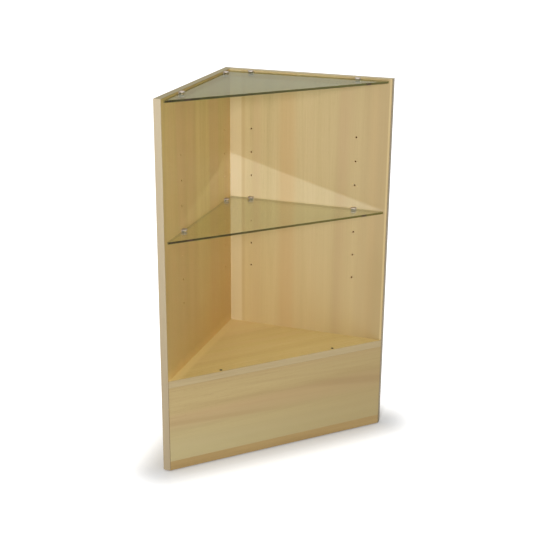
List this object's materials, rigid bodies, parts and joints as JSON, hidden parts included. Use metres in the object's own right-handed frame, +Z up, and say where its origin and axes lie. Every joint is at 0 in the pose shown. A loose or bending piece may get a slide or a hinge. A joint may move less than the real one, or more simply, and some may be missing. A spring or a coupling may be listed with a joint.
{
  "type": "corner display cabinet",
  "caption": "Open triangular corner display cabinet in maple-look board, with a closed base, a glass shelf and a recessed glass top held in clips.",
  "frame": {"origin": "on the floor, halfway between the outer back corner and the front line", "axes": "+Z up, the open front faces -Y, +X to the right seen from the front"},
  "size_m": [0.6458, 0.3363, 0.965],
  "materials": {
    "maple_laminate": "maple-look laminate, satin, with the grain along the board",
    "maple_edge_band": "thin maple-look band, satin, a little paler than the board",
    "dark_edge_band": "thin maple-look band, satin, darker than the board",
    "glass": "clear float glass with ground edges that look dark olive",
    "nickel": "bright nickel plate",
    "clear_vinyl": "clear soft vinyl",
    "zinc_steel": "zinc-plated steel",
    "zinc_casting": "raw die-cast zinc",
    "beech": "plain beech",
    "black_steel": "black oxide, dull",
    "maple_cap": "plastic cap in the board's colour",
    "glide_plastic": "brown polyethylene"
  },
  "bodies": {
    "carcass": {"left_side_panel": "maple_laminate", "right_side_panel": "maple_laminate", "deck_board": "maple_laminate", "bottom_board": "maple_laminate", "front_board": "maple_laminate", "left_front_edge_band": "maple_edge_band", "left_back_edge_band": "maple_edge_band", "left_top_edge_band": "maple_edge_band", "right_front_edge_band": "maple_edge_band", "right_top_edge_band": "maple_edge_band", "deck_edge_band": "maple_edge_band", "bottom_edge_band": "dark_edge_band", "shelf_clip_left_back": "nickel", "shelf_clip_left_front": "nickel", "shelf_clip_right_back": "nickel", "shelf_clip_right_front": "nickel", "top_clip_left_back": "nickel", "top_clip_left_front": "nickel", "top_clip_right_back": "nickel", "top_clip_right_front": "nickel", "shelf_clip_pads": "clear_vinyl", "top_clip_pads": "clear_vinyl", "corner_screws": "zinc_steel", "corner_screw_caps": "maple_cap", "deck_cam_locks": "zinc_casting", "deck_cam_bolts": "zinc_steel", "deck_dowels": "beech", "deck_front_screws": "black_steel", "bottom_cam_locks": "zinc_casting", "bottom_cam_bolts": "zinc_steel", "bottom_dowels": "beech", "bottom_front_screws": "black_steel", "floor_glides": "glide_plastic", "glide_nails": "zinc_steel"},
    "shelf_glass": {"glass_shelf": "glass"},
    "top_glass": {"glass_top": "glass"}
  },
  "joints": [
    {"name": "draw_out_glass_shelf", "type": "slide", "parent": "carcass", "child": "shelf_glass", "axis": [0, -1, 0], "range_m": [0, 0.33]},
    {"name": "draw_out_glass_top", "type": "slide", "parent": "carcass", "child": "top_glass", "axis": [0, -1, 0], "range_m": [0, 0.33]}
  ]
}
